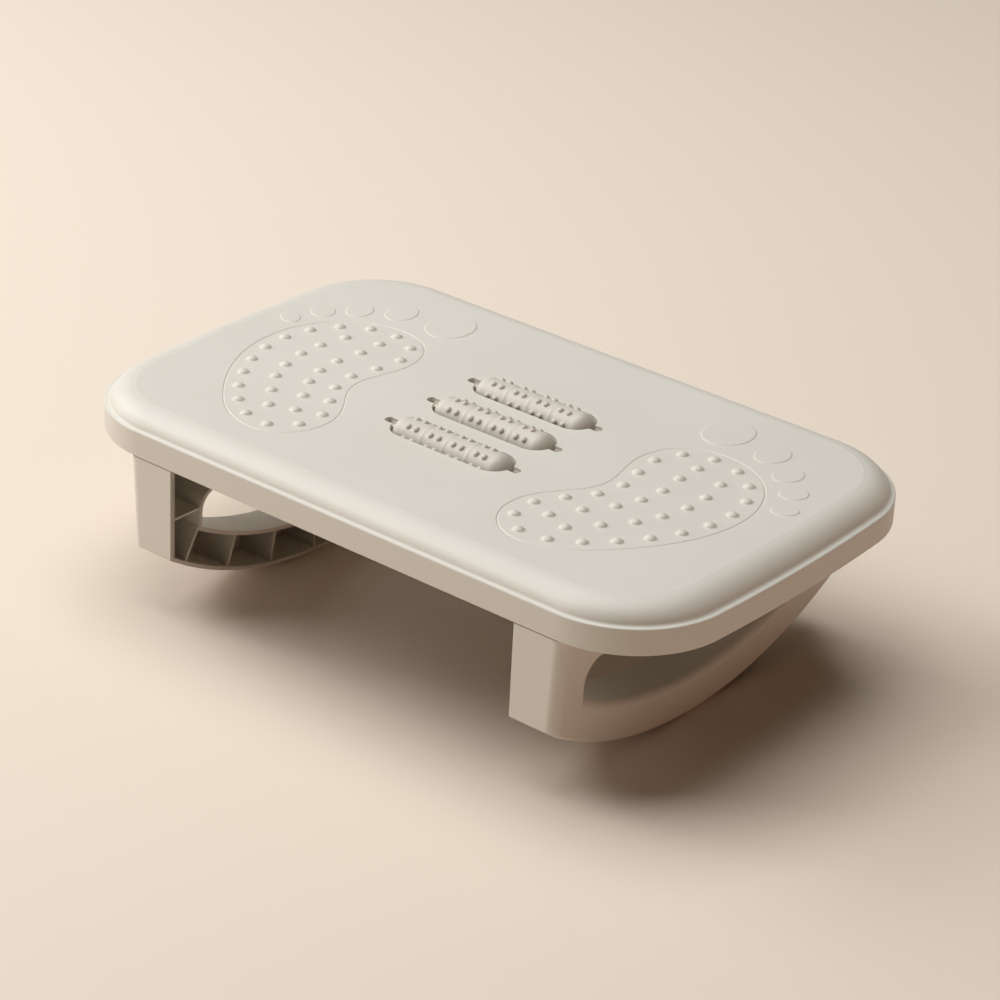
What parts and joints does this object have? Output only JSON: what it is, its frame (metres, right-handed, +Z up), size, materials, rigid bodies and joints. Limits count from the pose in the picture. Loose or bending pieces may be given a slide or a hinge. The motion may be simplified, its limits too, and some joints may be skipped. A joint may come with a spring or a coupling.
{
  "type": "massage roller footrest",
  "caption": "Low rocking footrest: a shallow rounded tray with moulded foot patterns and recessed massage rollers, on curved hollow runners.",
  "frame": {"origin": "on the floor, under the middle of the deck", "axes": "+X along the deck's long side to the sitter's right, +Y from heels to toes, +Z up"},
  "size_m": [0.44, 0.273, 0.1331],
  "materials": {
    "moulded_plastic": "satin warm grey-beige",
    "roller_plastic": "satin warm grey-beige",
    "axle_plastic": "plain tan rod",
    "screw_steel": "zinc plated"
  },
  "bodies": {
    "base": {"deck": "moulded_plastic", "left_leg": "moulded_plastic", "right_leg": "moulded_plastic", "left_leg_screws": "screw_steel", "right_leg_screws": "screw_steel", "front_axle": "axle_plastic", "middle_axle": "axle_plastic", "rear_axle": "axle_plastic"},
    "front_roller_body": {"front_roller": "roller_plastic"},
    "middle_roller_body": {"middle_roller": "roller_plastic"},
    "rear_roller_body": {"rear_roller": "roller_plastic"}
  },
  "joints": [
    {"name": "front_roller_spin", "type": "hinge", "parent": "base", "child": "front_roller_body", "pos_m": [0, -0.0374, 0.121], "axis": [1, 0, 0], "continuous": true},
    {"name": "middle_roller_spin", "type": "hinge", "parent": "base", "child": "middle_roller_body", "pos_m": [0, 0, 0.121], "axis": [1, 0, 0], "continuous": true},
    {"name": "rear_roller_spin", "type": "hinge", "parent": "base", "child": "rear_roller_body", "pos_m": [0, 0.0374, 0.121], "axis": [1, 0, 0], "continuous": true}
  ]
}
